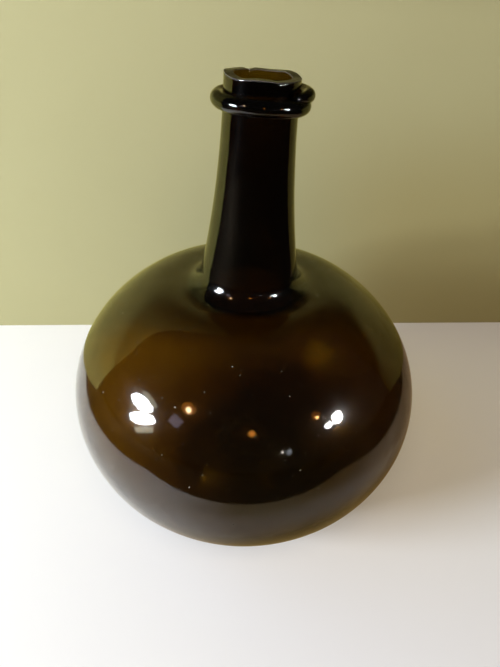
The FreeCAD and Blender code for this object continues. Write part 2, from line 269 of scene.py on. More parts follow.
def wall_profile():
    """The wall from the roof of the kick, over the outside, down the bore and round the hollow.

    Each of its points also has a share that is 1 on the inner skin, where no tool has smoothed it.
    """
    half = math.pi / 2
    inner_width = GLOBE_RADIUS - WALL_SIDE
    inner_ball = KICK_BALL + KICK_WALL
    inner_crown = CROWN_LEVEL - WALL_CROWN
    outside = np.vstack((
        arc((0, GLOBE_LEVEL), (GLOBE_RADIUS, GLOBE_FALL), -math.radians(68), 0),
        arc((0, GLOBE_LEVEL), (GLOBE_RADIUS, GLOBE_RISE), 0, math.radians(80))[1:],
    ))
    hollow = np.vstack((
        arc((0, GLOBE_LEVEL), (inner_width, GLOBE_RISE - WALL_CROWN), math.radians(80), 0),
        arc((0, GLOBE_LEVEL), (inner_width, GLOBE_FALL - WALL_FOOT), 0, -math.radians(80))[1:],
    ))
    neck = flare(LIP_RADIUS, NECK_FOOT_RADIUS, LIP_LEVEL, SEAT_LEVEL, FLARE_OVERRUN)[::-1]
    cork_end = LIP_LEVEL - CORK_DEPTH
    bore = np.vstack((
        straight((BORE_RADIUS, LIP_LEVEL), (BORE_RADIUS, cork_end)),
        flare(BORE_RADIUS, BORE_FOOT_RADIUS, cork_end, SEAT_LEVEL, FLARE_OVERRUN)[1:],
    ))

    # Each stretch runs on past its corners, where it is trimmed to the next
    stretches = [
        arc((0, KICK_BALL_LEVEL), (KICK_BALL, KICK_BALL), half, math.radians(28)),
        straight((60, 0), (90, 0)),
        outside,
        straight((125, CROWN_LEVEL), (20, CROWN_LEVEL)),
        neck,
        straight((LIP_RADIUS, LIP_LEVEL), (BORE_RADIUS, LIP_LEVEL)),
        bore,
        straight((20, inner_crown), (125, inner_crown)),
        hollow,
        arc((0, KICK_BALL_LEVEL), (inner_ball, inner_ball), math.radians(28), half),
    ]
    corners = (
        KICK_FOOT_ROUND, REST_ROUND, CROWN_ROUND, -SHOULDER_ROUND, 0, 0, THROAT_ROUND,
        WALL_CROWN - CROWN_ROUND, -HOLLOW_FOOT_ROUND,
    )
    pieces = [evenly(piece) for piece in rounded(stretches, corners)]
    line = np.vstack([pieces[0]] + [piece[1:] for piece in pieces[1:]])

    # The bore, the hollow's three stretches and the rounds between them are the inner skin
    inner_pieces = 7
    inner = sum(len(piece) - 1 for piece in pieces[:-inner_pieces]) + 1
    return line, (np.arange(len(line)) >= inner) * 1.0


# Geometry trees

def tree_with(name, inputs):
    """A geometry tree with named inputs after its geometry, and its group input node."""
    tree = bpy.data.node_groups.new(name, "GeometryNodeTree")
    tree.interface.new_socket("Geometry", in_out="INPUT", socket_type="NodeSocketGeometry")
    for label, kind in inputs:
        tree.interface.new_socket(label, in_out="INPUT", socket_type=f"NodeSocket{kind}")
    tree.interface.new_socket("Geometry", in_out="OUTPUT", socket_type="NodeSocketGeometry")
    return tree, tree.nodes.new("NodeGroupInput").outputs


def finish_tree(tree, geometry, material):
    """End a tree: smooth faces, real mesh and the glass it is made of."""
    smooth = node(tree, "GeometryNodeSetShadeSmooth", {"Geometry": geometry})
    real = node(tree, "GeometryNodeRealizeInstances", {"Geometry": smooth})
    glass = node(tree, "GeometryNodeSetMaterial", {"Geometry": real, "Material": material})
    node(tree, "NodeGroupOutput", {0: glass})


def rippled(tree, geometry, height, width, seed, share=1.0):
    """Move a surface in and out along its normals by a noise of that height and width."""
    place = node(tree, "GeometryNodeInputPosition")
    noise = node(tree, "ShaderNodeTexNoise", {
        "Vector": place,
        "W": seed,
        "Scale": node(tree, "ShaderNodeMath", {0: 1.0, 1: width}, operation="DIVIDE"),
        "Detail": 2.0,
    }, noise_dimensions="4D")
    swing = node(tree, "ShaderNodeMath", {0: noise, 1: 0.5}, operation="SUBTRACT")
    lift = node(tree, "ShaderNodeMath", {0: swing, 1: height}, operation="MULTIPLY")
    held = node(tree, "ShaderNodeMath", {0: lift, 1: share}, operation="MULTIPLY")
    normal = node(tree, "GeometryNodeInputNormal")
    offset = node(tree, "ShaderNodeVectorMath", {0: normal, "Scale": held}, operation="SCALE")
    return node(tree, "GeometryNodeSetPosition", {"Geometry": geometry, "Offset": offset})


def turned_wall_tree():
    """Turn a profile about the bottle's axis, lean what stands above the shoulder, and ripple it."""
    tree, given = tree_with("turned_wall", [
        ("Sides", "Int"), ("Lean", "Float"), ("Seat level", "Float"), ("Lean start", "Float"),
        ("Lean end", "Float"), ("Ripple height", "Float"), ("Ripple width", "Float"),
        ("Seed", "Float"), ("Glass", "Material"),
    ])
    count = node(tree, "GeometryNodeAttributeDomainSize", {"Geometry": given["Geometry"]})
    rows = count.outputs["Point Count"]
    columns = node(tree, "ShaderNodeMath", {0: given["Sides"], 1: 1.0}, operation="ADD")
    grid = node(tree, "GeometryNodeMeshGrid", {"Vertices X": columns, "Vertices Y": rows})
    index = node(tree, "GeometryNodeInputIndex")
    row = node(tree, "ShaderNodeMath", {0: index, 1: rows}, operation="MODULO")
    turns = node(tree, "ShaderNodeMath", {0: index, 1: rows}, operation="DIVIDE")
    side = node(tree, "ShaderNodeMath", {0: turns}, operation="FLOOR")
    share = node(tree, "ShaderNodeMath", {0: side, 1: given["Sides"]}, operation="DIVIDE")
    angle = node(tree, "ShaderNodeMath", {0: share, 1: math.tau}, operation="MULTIPLY")
    section = node(tree, "GeometryNodeSampleIndex", {
        "Geometry": given["Geometry"],
        "Value": node(tree, "GeometryNodeInputPosition"),
        "Index": row,
    }, data_type="FLOAT_VECTOR", domain="POINT")
    skin = node(tree, "GeometryNodeSampleIndex", {
        "Geometry": given["Geometry"],
        "Value": node(tree, "GeometryNodeInputNamedAttribute", {"Name": "hollow"}, data_type="FLOAT"),
        "Index": row,
    }, data_type="FLOAT", domain="POINT")
    marked = node(tree, "GeometryNodeStoreNamedAttribute", {
        "Geometry": grid, "Name": "hollow", "Value": skin,
    }, data_type="FLOAT", domain="POINT")
    turned = node(tree, "ShaderNodeVectorRotate", {
        "Vector": section, "Center": (0, 0, 0), "Axis": (0, 0, 1), "Angle": angle,
    }, rotation_type="AXIS_ANGLE")
    level = node(tree, "ShaderNodeSeparateXYZ", {0: section}).outputs["Z"]
    leaning = node(tree, "ShaderNodeMapRange", {
        "Value": level, "From Min": given["Lean start"], "From Max": given["Lean end"],
        "To Min": 0.0, "To Max": given["Lean"],
    }, interpolation_type="SMOOTHSTEP")
    seat = node(tree, "ShaderNodeCombineXYZ", {"Z": given["Seat level"]})
    leant = node(tree, "ShaderNodeVectorRotate", {
        "Vector": turned, "Center": seat, "Axis": (0, 1, 0), "Angle": leaning,
    }, rotation_type="AXIS_ANGLE")
    wall = node(tree, "GeometryNodeSetPosition", {"Geometry": marked, "Position": leant})
    closed = node(tree, "GeometryNodeMergeByDistance", {"Geometry": wall, "Distance": 0.02 * MM})
    height = node(tree, "ShaderNodeSeparateXYZ", {0: node(tree, "GeometryNodeInputPosition")}).outputs["Z"]
    off_table = node(tree, "ShaderNodeMapRange", {
        "Value": height, "From Min": 4 * MM, "From Max": 30 * MM,
    }, interpolation_type="SMOOTHSTEP")
    blown = rippled(tree, closed, given["Ripple height"], given["Ripple width"], given["Seed"], off_table)
    finish_tree(tree, blown, given["Glass"])
    return tree


def rolled_trail_tree():
    """Roll a round trail of glass along a line of stations, each with its own radius."""
    tree, given = tree_with("rolled_trail", [
        ("Step", "Float"), ("Ripple height", "Float"), ("Ripple width", "Float"),
        ("Seed", "Float"), ("Glass", "Material"),
    ])
    line = node(tree, "GeometryNodeMeshToCurve", {"Mesh": given["Geometry"]})
    smooth = node(tree, "GeometryNodeCurveSplineType", {"Curve": line}, spline_type="CATMULL_ROM")
    fine = node(tree, "GeometryNodeResampleCurve", {"Curve": smooth, "Length": given["Step"]}, mode="LENGTH")
    radius = node(tree, "GeometryNodeInputNamedAttribute", {"Name": "roll"}, data_type="FLOAT")
    round_section = node(tree, "GeometryNodeCurvePrimitiveCircle", {"Resolution": 28, "Radius": 1.0})
    roll = node(tree, "GeometryNodeCurveToMesh", {
        "Curve": fine,
        "Profile Curve": round_section,
        "Scale": radius.outputs["Attribute"],
        "Fill Caps": True,
    })
    wound = rippled(tree, roll, given["Ripple height"], given["Ripple width"], given["Seed"])
    finish_tree(tree, wound, given["Glass"])
    return tree


def grown(name, points, tree, values, attributes=()):
    """A plain mesh that a tree grows from a line of points, with its place in its mesh."""
    line = bpy.data.meshes.new(name)
    edges = [(place, place + 1) for place in range(len(points) - 1)]
    line.from_pydata([tuple(point) for point in points], edges, [])
    for label, numbers in attributes:
        line.attributes.new(label, "FLOAT", "POINT").data.foreach_set("value", numbers)
    piece = bpy.data.objects.new(name, line)
    bpy.context.scene.collection.objects.link(piece)
    modifier = piece.modifiers.new(name, "NODES")
    modifier.node_group = tree
    for socket in tree.interface.items_tree:
        if socket.in_out == "INPUT" and socket.name in values:
            modifier[socket.identifier] = values[socket.name]
    bpy.context.view_layer.update()
    evaluated = piece.evaluated_get(bpy.context.evaluated_depsgraph_get())
    mesh = bpy.data.meshes.new_from_object(evaluated)
    while mesh.materials[0] is None:
        mesh.materials.pop(index=0)
    piece.modifiers.remove(modifier)
    piece.data = mesh
    mesh.name = name
    bpy.data.meshes.remove(line)
    return piece


# Glass

def below_neck(tree, place):
    """1 on the globe and 0 on the neck, where hands wipe off what settles."""
    up_neck = node(tree, "ShaderNodeMapRange", {
        "Value": node(tree, "ShaderNodeSeparateXYZ", {0: place}).outputs["Z"],
        "From Min": (CROWN_LEVEL - 10.5) * MM, "From Max": (CROWN_LEVEL + 24.5) * MM,
    }, interpolation_type="SMOOTHSTEP")
    return node(tree, "ShaderNodeMath", {0: 1.0, 1: up_neck}, operation="SUBTRACT")


def bent_space(tree, place):
    """Places moved about by up to some centimetres, so that lines drawn in them are bent."""
    bend = node(tree, "ShaderNodeTexNoise", {"Vector": place, "Scale": per(60)})
    bent = node(tree, "ShaderNodeVectorMath", {
        0: bend.outputs["Color"], "Scale": 50 * MM,
    }, operation="SCALE")
    return node(tree, "ShaderNodeVectorMath", {0: place, 1: bent}, operation="ADD")


def dust_film(tree, warped, drifts, settled, dust):
    """Dust: fine specks and a thin film in drifts, a rough coat that catches light by a highlight."""
    grain = node(tree, "ShaderNodeTexVoronoi", {"Vector": warped, "Scale": per(2.6)})
    speck = node(tree, "ShaderNodeMapRange", {
        "Value": grain.outputs["Distance"], "From Min": 0.20, "From Max": 0.10,
    })
    chance = node(tree, "ShaderNodeSeparateColor", {0: grain.outputs["Color"]}).outputs["Red"]
    likely = node(tree, "ShaderNodeMath", {0: drifts, 1: 0.35, 2: chance}, operation="MULTIPLY_ADD")
    chosen = node(tree, "ShaderNodeMath", {0: likely, 1: 0.90}, operation="GREATER_THAN")
    specks = node(tree, "ShaderNodeMath", {0: speck, 1: chosen}, operation="MULTIPLY")
    film = node(tree, "ShaderNodeMath", {0: drifts, 1: 0.14, 2: specks}, operation="MULTIPLY_ADD")
    lying = node(tree, "ShaderNodeMath", {0: film, 1: settled, 2: 0.04}, operation="MULTIPLY_ADD")
    return node(tree, "ShaderNodeMath", {0: lying, 1: dust}, operation="MULTIPLY", use_clamp=True)


def crumbs_on_top(tree, place, drifts, settled, dust):
    """A few pale crumbs of lint and grit, up to a millimetre across, that hide the glass."""
    crumb = node(tree, "ShaderNodeTexNoise", {"Vector": place, "Scale": per(1.9), "Detail": 0.0})
    tended = node(tree, "ShaderNodeMath", {0: drifts, 1: 0.012, 2: crumb}, operation="MULTIPLY_ADD")
    crumbs = node(tree, "ShaderNodeMapRange", {
        "Value": tended, "From Min": 0.855, "From Max": 0.895,
    })
    strewn = node(tree, "ShaderNodeMath", {0: crumbs, 1: settled}, operation="MULTIPLY")
    return node(tree, "ShaderNodeMath", {0: strewn, 1: 0.38 * dust}, operation="MULTIPLY")


def fine_scratches(tree, warped, drifts):
    """Fine scratches, drawn three times as wide as they are so that they show."""
    lines = node(tree, "ShaderNodeTexVoronoi", {
        "Vector": warped, "Scale": per(30),
    }, feature="DISTANCE_TO_EDGE")
    scratch = node(tree, "ShaderNodeMapRange", {
        "Value": lines.outputs["Distance"], "From Min": 0.010, "From Max": 0.004,
    })
    return node(tree, "ShaderNodeMath", {0: scratch, 1: drifts}, operation="MULTIPLY")


def blown_skin(tree, place, hollow, broken, wear):
    """Broad waves from blowing, a fine unevenness, small seeds and a rippled inner side."""
    ripples = node(tree, "ShaderNodeTexNoise", {"Vector": place, "Scale": per(20), "Detail": 0.5})
    inner = node(tree, "ShaderNodeMath", {0: ripples, 1: hollow}, operation="MULTIPLY")
    waves = node(tree, "ShaderNodeTexNoise", {"Vector": place, "Scale": per(24), "Detail": 1.0})
    peel = node(tree, "ShaderNodeTexNoise", {"Vector": place, "Scale": per(3.5), "Detail": 2.0})
    seed_cells = node(tree, "ShaderNodeTexVoronoi", {"Vector": place, "Scale": per(11)})
    seeds = node(tree, "ShaderNodeMapRange", {
        "Value": seed_cells.outputs["Distance"], "From Min": 0.10, "From Max": 0.0,
    }, interpolation_type="SMOOTHSTEP")
    skin = node(tree, "ShaderNodeNewGeometry").outputs["Normal"]
    for relief, depth in (
        (inner, 0.5), (waves, 0.05), (peel, 0.005 + 0.05 * wear), (seeds, 0.07), (broken, 0.13),
    ):
        skin = node(tree, "ShaderNodeBump", {"Distance": depth * MM, "Height": relief, "Normal": skin})
    return skin


def polish(tree, place, wear, dulled_by):
    """Fire polish, smeared by handling, and roughened by each thing that dulls it, by its share."""
    smear = node(tree, "ShaderNodeTexNoise", {"Vector": place, "Scale": per(18), "Detail": 5.0})
    rough = node(tree, "ShaderNodeMapRange", {
        "Value": smear, "From Min": 0.3, "From Max": 0.75,
        "To Min": 0.03 + 0.3 * wear, "To Max": 0.09 + 0.4 * wear,
    })
    for cause, share in dulled_by:
        rough = node(tree, "ShaderNodeMath", {0: cause, 1: share, 2: rough}, operation="MULTIPLY_ADD")
    return node(tree, "ShaderNodeClamp", {"Value": rough})


def glass_tint(tree, place, drift, chips, grit, frost):
    """Nearly clear, since the glass has its colour inside; a grey tint that darkens the neck and fades out
    down the crown, the colour of the crumbs where they lie, and mottled olive where it is broken."""
    tone = node(tree, "ShaderNodeMix", {
        "Factor": drift, "A": paint("#fffdf4"), "B": paint("#f4f6e6"),
    }, data_type="RGBA")
    thick = node(tree, "ShaderNodeMapRange", {
        "Value": node(tree, "ShaderNodeSeparateXYZ", {0: place}).outputs["Z"],
        "From Min": (CROWN_LEVEL - 22.5) * MM, "From Max": (CROWN_LEVEL + 19.5) * MM,
    }, interpolation_type="SMOOTHSTEP")
    neck_greyed = node(tree, "ShaderNodeMix", {
        "Factor": thick, "A": tone.outputs[2], "B": paint("#aeaeac"),
    }, data_type="RGBA")
    grey = node(tree, "ShaderNodeMix", {
        "Factor": grit, "A": neck_greyed.outputs[2], "B": paint("#b9b1a0"),
    }, data_type="RGBA")
    flaked = node(tree, "ShaderNodeMapRange", {"Value": chips, "From Min": 0.42, "From Max": 0.62})
    mottled = node(tree, "ShaderNodeMix", {
        "Factor": flaked, "A": paint("#2c2716"), "B": paint("#6e6948"),
    }, data_type="RGBA")
    worn = node(tree, "ShaderNodeMix", {
        "Factor": frost, "A": grey.outputs[2], "B": mottled.outputs[2],
    }, data_type="RGBA")
    return worn.outputs[2]


def bottle_glass(name, dust, wear):
    """Free-blown olive-amber glass: iron and sulphur colour it all through, so its thickness sets
    how dark it looks, and hot working leaves a fire-polished skin that is never quite even."""
    material, tree = new_material(name)
    place = node(tree, "ShaderNodeTexCoord").outputs["Object"]
    hollow = node(tree, "ShaderNodeAttribute", attribute_name="hollow").outputs["Fac"]
    frost = node(tree, "ShaderNodeAttribute", attribute_name="sheared").outputs["Fac"]

    # Dust stays where the skin faces up, below the neck
    on_globe = below_neck(tree, place)
    normal = node(tree, "ShaderNodeNewGeometry").outputs["Normal"]
    facing_up = node(tree, "ShaderNodeMapRange", {
        "Value": node(tree, "ShaderNodeSeparateXYZ", {0: normal}).outputs["Z"],
        "From Min": -0.9, "From Max": 0.4,
    })
    settled = node(tree, "ShaderNodeMath", {0: facing_up, 1: on_globe}, operation="MULTIPLY")
    drift = node(tree, "ShaderNodeTexNoise", {
        "Vector": place, "Scale": per(48), "Detail": 4.0, "Roughness": 0.6,
    })
    drifts = node(tree, "ShaderNodeMapRange", {"Value": drift, "From Min": 0.44, "From Max": 0.66})
    warped = bent_space(tree, place)
    grit = crumbs_on_top(tree, place, drifts, settled, dust)

    # The hollow is dull, for no one has wiped it, and broken glass is frosted and hides what is in it
    chips = node(tree, "ShaderNodeTexNoise", {"Vector": place, "Scale": per(2.2), "Detail": 3.0})
    broken = node(tree, "ShaderNodeMath", {0: chips, 1: frost}, operation="MULTIPLY")
    dull_inside = node(tree, "ShaderNodeMath", {0: hollow, 1: on_globe}, operation="MULTIPLY")
    scratches = fine_scratches(tree, warped, drifts)
    causes = ((grit, 0.5), (scratches, 0.02), (dull_inside, 0.17), (frost, 0.25))
    hidden = node(tree, "ShaderNodeMath", {
        0: frost, 1: 0.5, 2: grit,
    }, operation="MULTIPLY_ADD", use_clamp=True)

    shader = node(tree, "ShaderNodeBsdfPrincipled", {
        "Base Color": glass_tint(tree, place, drift, chips, grit, frost),
        "Roughness": polish(tree, place, wear, causes),
        "IOR": 1.52,
        "Transmission Weight": node(tree, "ShaderNodeMath", {0: 1.0, 1: hidden}, operation="SUBTRACT"),
        "Coat Weight": dust_film(tree, warped, drifts, settled, dust),
        "Coat Roughness": 0.22,
        "Normal": blown_skin(tree, place, hollow, broken, wear),
    })
    amber = node(tree, "ShaderNodeVolumeAbsorption", {"Color": (0.664, 0.544, 0.0, 1.0), "Density": 640.0})
    node(tree, "ShaderNodeOutputMaterial", {"Surface": shader, "Volume": amber})
    return material


blown_glass = bottle_glass("free_blown_olive_amber_glass", 1.0, 0.0)
trail_glass = bottle_glass("hot_wound_fire_polished_glass", 0.6, 0.0)
scar_glass = bottle_glass("broken_and_worn_glass", 1.0, 1.0)


# Pieces

def neck_frame(points):
    """Points in the frame of the neck: its axis upright through the origin, in millimetres."""
    upright = Matrix.Rotation(-NECK_LEAN, 3, "Y")
    return (points / MM - np.array((0, 0, SEAT_LEVEL))) @ np.array(upright).T


def from_neck_frame(points):
    """Points in the neck's frame put back on the bottle, in metres."""
    leaning = Matrix.Rotation(NECK_LEAN, 3, "Y")
    return (points @ np.array(leaning).T + np.array((0, 0, SEAT_LEVEL))) * MM


def shear_lip(mesh):
    """Leave the lip as the shears and the years left it: uneven, chipped and frosted on top."""
    count = len(mesh.vertices)
    points = np.empty(count * 3)
    mesh.vertices.foreach_get("co", points)
    points = neck_frame(points.reshape(-1, 3))
    azimuth = np.degrees(np.arctan2(points[:, 1], points[:, 0]))
    near = np.clip((points[:, 2] - NECK_LENGTH) / LIP_SOFT_DEPTH + 1, 0, 1)
    near = near * near * (3 - 2 * near)
    degrees, heights = zip(*LIP_HEIGHTS)
    uneven = np.interp(azimuth, degrees, heights, period=360)
    points[:, 2] += uneven * near
    sheared = (points[:, 2] > NECK_LENGTH - LIP_FROST_DEPTH + uneven) * 1.0
    for turn, radius in LIP_CHIPS:
        off = radius * (1 - CHIP_DEPTH_SHARE) * math.sqrt(0.5)
        across = LIP_RADIUS + off
        angle = math.radians(turn)
        centre = np.array((across * math.cos(angle), across * math.sin(angle), NECK_LENGTH + off))
        arm = points - centre
        reach = np.linalg.norm(arm, axis=1)
        bitten = reach < radius
        points[bitten] = centre + arm[bitten] * (radius / reach[bitten])[:, None]
        sheared[bitten] = 0.5
    mesh.vertices.foreach_set("co", from_neck_frame(points).ravel())
    mesh.attributes.new("sheared", "FLOAT", "POINT").data.foreach_set("value", sheared)
    mesh.update()


def make_blown_body():
    """The globe and neck, one wall of glass from its outer skin to its hollow."""
    profile, hollow = wall_profile()
    points = np.column_stack((profile[:, 0], np.zeros(len(profile)), profile[:, 1])) * MM
    piece = grown("bottle", points, turned_wall_tree(), {
        "Sides": 192, "Lean": NECK_LEAN, "Seat level": SEAT_LEVEL * MM,
        "Lean start": LEAN_START * MM, "Lean end": LEAN_END * MM,
        "Ripple height": 0.8 * MM, "Ripple width": 90 * MM, "Seed": 3.0, "Glass": blown_glass,
    }, [("hollow", hollow)])
    shear_lip(piece.data)
    return piece


def make_string_rim(tree):
    """The trail wound round the neck, sunk a little into its wall, with its tail lapped over."""
    rows = np.array(TRAIL)
    turn = -np.radians(rows[:, 0])
    across = TRAIL_RADIUS + rows[:, 2]
    levels = TRAIL_LEVEL + rows[:, 1]
    points = np.column_stack((across * np.cos(turn), across * np.sin(turn), levels))
    return grown("string_rim_trail", from_neck_frame(points), tree, {
        "Step": 1.2 * MM, "Ripple height": 0.5 * MM, "Ripple width": 11 * MM, "Seed": 8.0,
        "Glass": trail_glass,
    }, [("roll", rows[:, 3] * MM)])


def make_scar(tree):
    """The broken ring of glass under the kick's roof, sunk nearly half into it."""
    turns = np.radians(np.linspace(0, SCAR_SWEEP, 61))
    roof = KICK_BALL_LEVEL + math.sqrt(KICK_BALL ** 2 - SCAR_RADIUS ** 2)
    levels = np.full(len(turns), roof - SCAR_DROP)
    points = np.column_stack((SCAR_RADIUS * np.cos(turns), SCAR_RADIUS * np.sin(turns), levels)) * MM
    return grown("scar_ring", points, tree, {
        "Step": 1.2 * MM, "Ripple height": 2.2 * MM, "Ripple width": 7 * MM, "Seed": 5.0,
        "Glass": scar_glass,
    }, [("roll", np.full(len(turns), SCAR_ROLL * MM))])


trail_tree = rolled_trail_tree()
for piece, stands_for, finish in (
    (make_blown_body(), "blown_body", "bottle_glass"),
    (make_string_rim(trail_tree), "string_rim", "rim_glass"),
    (make_scar(trail_tree), "pontil_scar", "scar_glass"),
):
    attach(piece, "root")
    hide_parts(stands_for)


# Stage: a white table against a sage wall, in a dim room lit by windows, in metres

# The table's left, right and front edge, each as a direction over the floor and how far it
# reaches, and the wall behind it: its distance, its turn and its outline
TABLE_EDGES = [((-1, -0.42), 0.605), ((1, -0.3), 0.63), ((0, -1), 0.425)]
WALL_Y = 0.295
WALL_TURN = 0.077
WALL_OUTLINE = [
    (-1.55, 0), (2.8, 0), (2.8, 1.3), (1.5, 1.2), (0.85, 1.0), (0.4, 0.93), (-0.2, 0.97),
    (-1.2, 0.95), (-1.5, 0.83), (-1.6, 0.58),
]


def flat_piece(name, corners, material):
    """A flat sheet of the stage."""
    mesh = bpy.data.meshes.new(name)
    mesh.from_pydata(corners, [], [list(range(len(corners)))])
    mesh.materials.append(material)
    sheet = bpy.data.objects.new(name, mesh)
    bpy.context.scene.collection.objects.link(sheet)
    return sheet


def share_on_table(tree, place):
    """1 on the table top and 0 beyond its edges."""
    on_table = 1.0
    for way, reach in TABLE_EDGES:
        along = node(tree, "ShaderNodeVectorMath", {0: place, 1: (*way, 0)}, operation="DOT_PRODUCT")
        inside = node(tree, "ShaderNodeMath", {
            0: along.outputs["Value"], 1: reach,
        }, operation="LESS_THAN")
        on_table = node(tree, "ShaderNodeMath", {0: on_table, 1: inside}, operation="MULTIPLY")
    return on_table


def painted_brown_light_and_shade(tree, colour, place, spot, mirrored):
    """Painted brown light and shade for rays in the glass: brown round the bottle's foot and to its right,
    as if let through the amber glass, and dim in front.
    """
    nearer = node(tree, "ShaderNodeVectorMath", {0: place, 1: (1.0, 0.75, 1.0)}, operation="MULTIPLY")
    from_foot = node(tree, "ShaderNodeVectorMath", {
        0: nearer, 1: (0.08, 0.0, 0.0),
    }, operation="DISTANCE")
    at_foot = node(tree, "ShaderNodeMapRange", {
        "Value": from_foot.outputs["Value"],
        "From Min": 0.12, "From Max": 0.27, "To Min": 1.0, "To Max": 0.0,
    }, interpolation_type="SMOOTHSTEP")
    forward = node(tree, "ShaderNodeMapRange", {
        "Value": spot.outputs["Y"], "From Min": -0.2, "From Max": -0.34,
    })
    not_left = node(tree, "ShaderNodeMapRange", {
        "Value": spot.outputs["X"], "From Min": -0.2, "From Max": -0.02,
    })
    in_front = node(tree, "ShaderNodeMath", {0: forward, 1: not_left}, operation="MULTIPLY")
    to_right = node(tree, "ShaderNodeMapRange", {
        "Value": spot.outputs["X"], "From Min": 0.12, "From Max": 0.34, "To Max": 0.75,
    })
    # Painted shadow browned as if by light through the amber glass at the foot, painted shade in front, and
    # painted brown light to the right, seen only by rays in the glass
    for share, code in ((at_foot, "#9c8450"), (in_front, "#c0ab84"), (to_right, "#b8965c")):
        deep = node(tree, "ShaderNodeMath", {0: share, 1: mirrored}, operation="MULTIPLY")
        colour = node(tree, "ShaderNodeMix", {
            "Factor": deep, "A": colour.outputs[2], "B": paint(code),
        }, data_type="RGBA")
    return colour


def floor_material():
    """Matt white table top. In the glass it has painted brown light and shade near the bottle and a painted
    glow of sun on the left, and beyond its edges gloss finds it painted dark, as painted shade of the dim
    room."""
    material, tree = new_material("matt_white_table_top")
    place = node(tree, "ShaderNodeTexCoord").outputs["Object"]
    spot = node(tree, "ShaderNodeSeparateXYZ", {0: place})
    rays = node(tree, "ShaderNodeLightPath")
    gloss = rays.outputs["Is Glossy Ray"]
    transmission = rays.outputs["Is Transmission Ray"]
    on_table = share_on_table(tree, place)
    off_table = node(tree, "ShaderNodeMath", {0: 1.0, 1: on_table}, operation="SUBTRACT")
    # Beyond the table's edges glossy rays find a painted dark colour, painted shade standing for the dim
    # room
    painted_dark_beyond = node(tree, "ShaderNodeMath", {0: off_table, 1: gloss}, operation="MULTIPLY")
    mottle = node(tree, "ShaderNodeTexNoise", {"Vector": place, "Scale": per(400)})
    tone = node(tree, "ShaderNodeMix", {
        "Factor": mottle, "A": paint("#f8f8f7"), "B": paint("#f4f4f3"),
    }, data_type="RGBA")
    colour = node(tree, "ShaderNodeMix", {
        "Factor": painted_dark_beyond, "A": tone.outputs[2], "B": paint("#3c3428"),
    }, data_type="RGBA")
    in_glass = node(tree, "ShaderNodeMath", {0: gloss, 1: transmission}, operation="MAXIMUM")
    mirrored = node(tree, "ShaderNodeMath", {0: in_glass, 1: on_table}, operation="MULTIPLY")
    shaded = painted_brown_light_and_shade(tree, colour, place, spot, mirrored)
    matt = node(tree, "ShaderNodeBsdfDiffuse", {"Color": shaded.outputs[2]})
    # A painted glow of sun on the left of the table: an emission seen only in and through the glass,
    # strongest through it
    sunny = node(tree, "ShaderNodeMapRange", {
        "Value": spot.outputs["X"], "From Min": 0.0, "From Max": -0.25, "To Max": 0.24,
    })
    through = node(tree, "ShaderNodeMath", {0: transmission, 1: 2.6, 2: gloss}, operation="MULTIPLY_ADD")
    white = node(tree, "ShaderNodeMath", {0: through, 1: sunny}, operation="MULTIPLY")
    strength = node(tree, "ShaderNodeMath", {0: white, 1: on_table}, operation="MULTIPLY")
    glow = node(tree, "ShaderNodeEmission", {"Color": paint("#f9fcf0"), "Strength": strength})
    surface = node(tree, "ShaderNodeAddShader", {0: matt, 1: glow})
    node(tree, "ShaderNodeOutputMaterial", {"Surface": surface})
    return material


def wall_material():
    """Sage wall paint, with painted shade, warmer, low on the right, warmer at the far left and with painted
    shade high up. Gloss finds it yellower, and dimmer high up, a painted reflection.
    It has no back, so that it hides nothing from behind."""
    material, tree = new_material("sage_wall_paint")
    place = node(tree, "ShaderNodeTexCoord").outputs["Object"]
    mottle = node(tree, "ShaderNodeTexNoise", {"Vector": place, "Scale": per(300), "Detail": 3.0})
    tone = node(tree, "ShaderNodeMix", {
        "Factor": mottle, "A": paint("#aaa67f"), "B": paint("#a4a078"),
    }, data_type="RGBA")
    spot = node(tree, "ShaderNodeSeparateXYZ", {0: place})
    colour = tone.outputs[2]
    # Blended over the paint by their shares across and up: painted shade, warmer, low on the right, a warmer
    # tone at the far left, and painted shade high up
    for left, right, low, high, most, code in (
        (0.0, 0.25, 0.42, 0.20, 0.5, "#938552"),
        (-0.5, -0.9, 0.1, 0.3, 0.6, "#a39a5c"),
        (-0.55, 0.05, 0.46, 0.60, 0.85, "#2a2418"),
    ):
        across = node(tree, "ShaderNodeMapRange", {
            "Value": spot.outputs["X"], "From Min": left, "From Max": right,
        }, interpolation_type="SMOOTHSTEP")
        up = node(tree, "ShaderNodeMapRange", {
            "Value": spot.outputs["Z"], "From Min": low, "From Max": high, "To Max": most,
        }, interpolation_type="SMOOTHSTEP")
        share = node(tree, "ShaderNodeMath", {0: across, 1: up}, operation="MULTIPLY")
        colour = node(tree, "ShaderNodeMix", {
            "Factor": share, "A": colour, "B": paint(code),
        }, data_type="RGBA").outputs[2]
    # For glossy rays the wall is multiplied yellower, and darker above crown height: a painted reflection,
    # with painted shade high up
    above_crown = node(tree, "ShaderNodeMapRange", {
        "Value": spot.outputs["Z"], "From Min": 0.42, "From Max": 0.51,
    })
    painted_gloss_shade = node(tree, "ShaderNodeMix", {
        "Factor": above_crown, "A": paint("#fffac4"), "B": paint("#b2ac84"),
    }, data_type="RGBA")
    gloss = node(tree, "ShaderNodeLightPath").outputs["Is Glossy Ray"]
    mirrored = node(tree, "ShaderNodeMix", {
        "Factor": gloss, "A": colour, "B": painted_gloss_shade.outputs[2],
    }, data_type="RGBA", blend_type="MULTIPLY")
    matt = node(tree, "ShaderNodeBsdfDiffuse", {"Color": mirrored.outputs[2]})
    clear = node(tree, "ShaderNodeBsdfTransparent")
    behind = node(tree, "ShaderNodeNewGeometry").outputs["Backfacing"]
    seen = node(tree, "ShaderNodeMixShader", {0: behind, 1: matt, 2: clear})
    node(tree, "ShaderNodeOutputMaterial", {"Surface": seen})
    return material


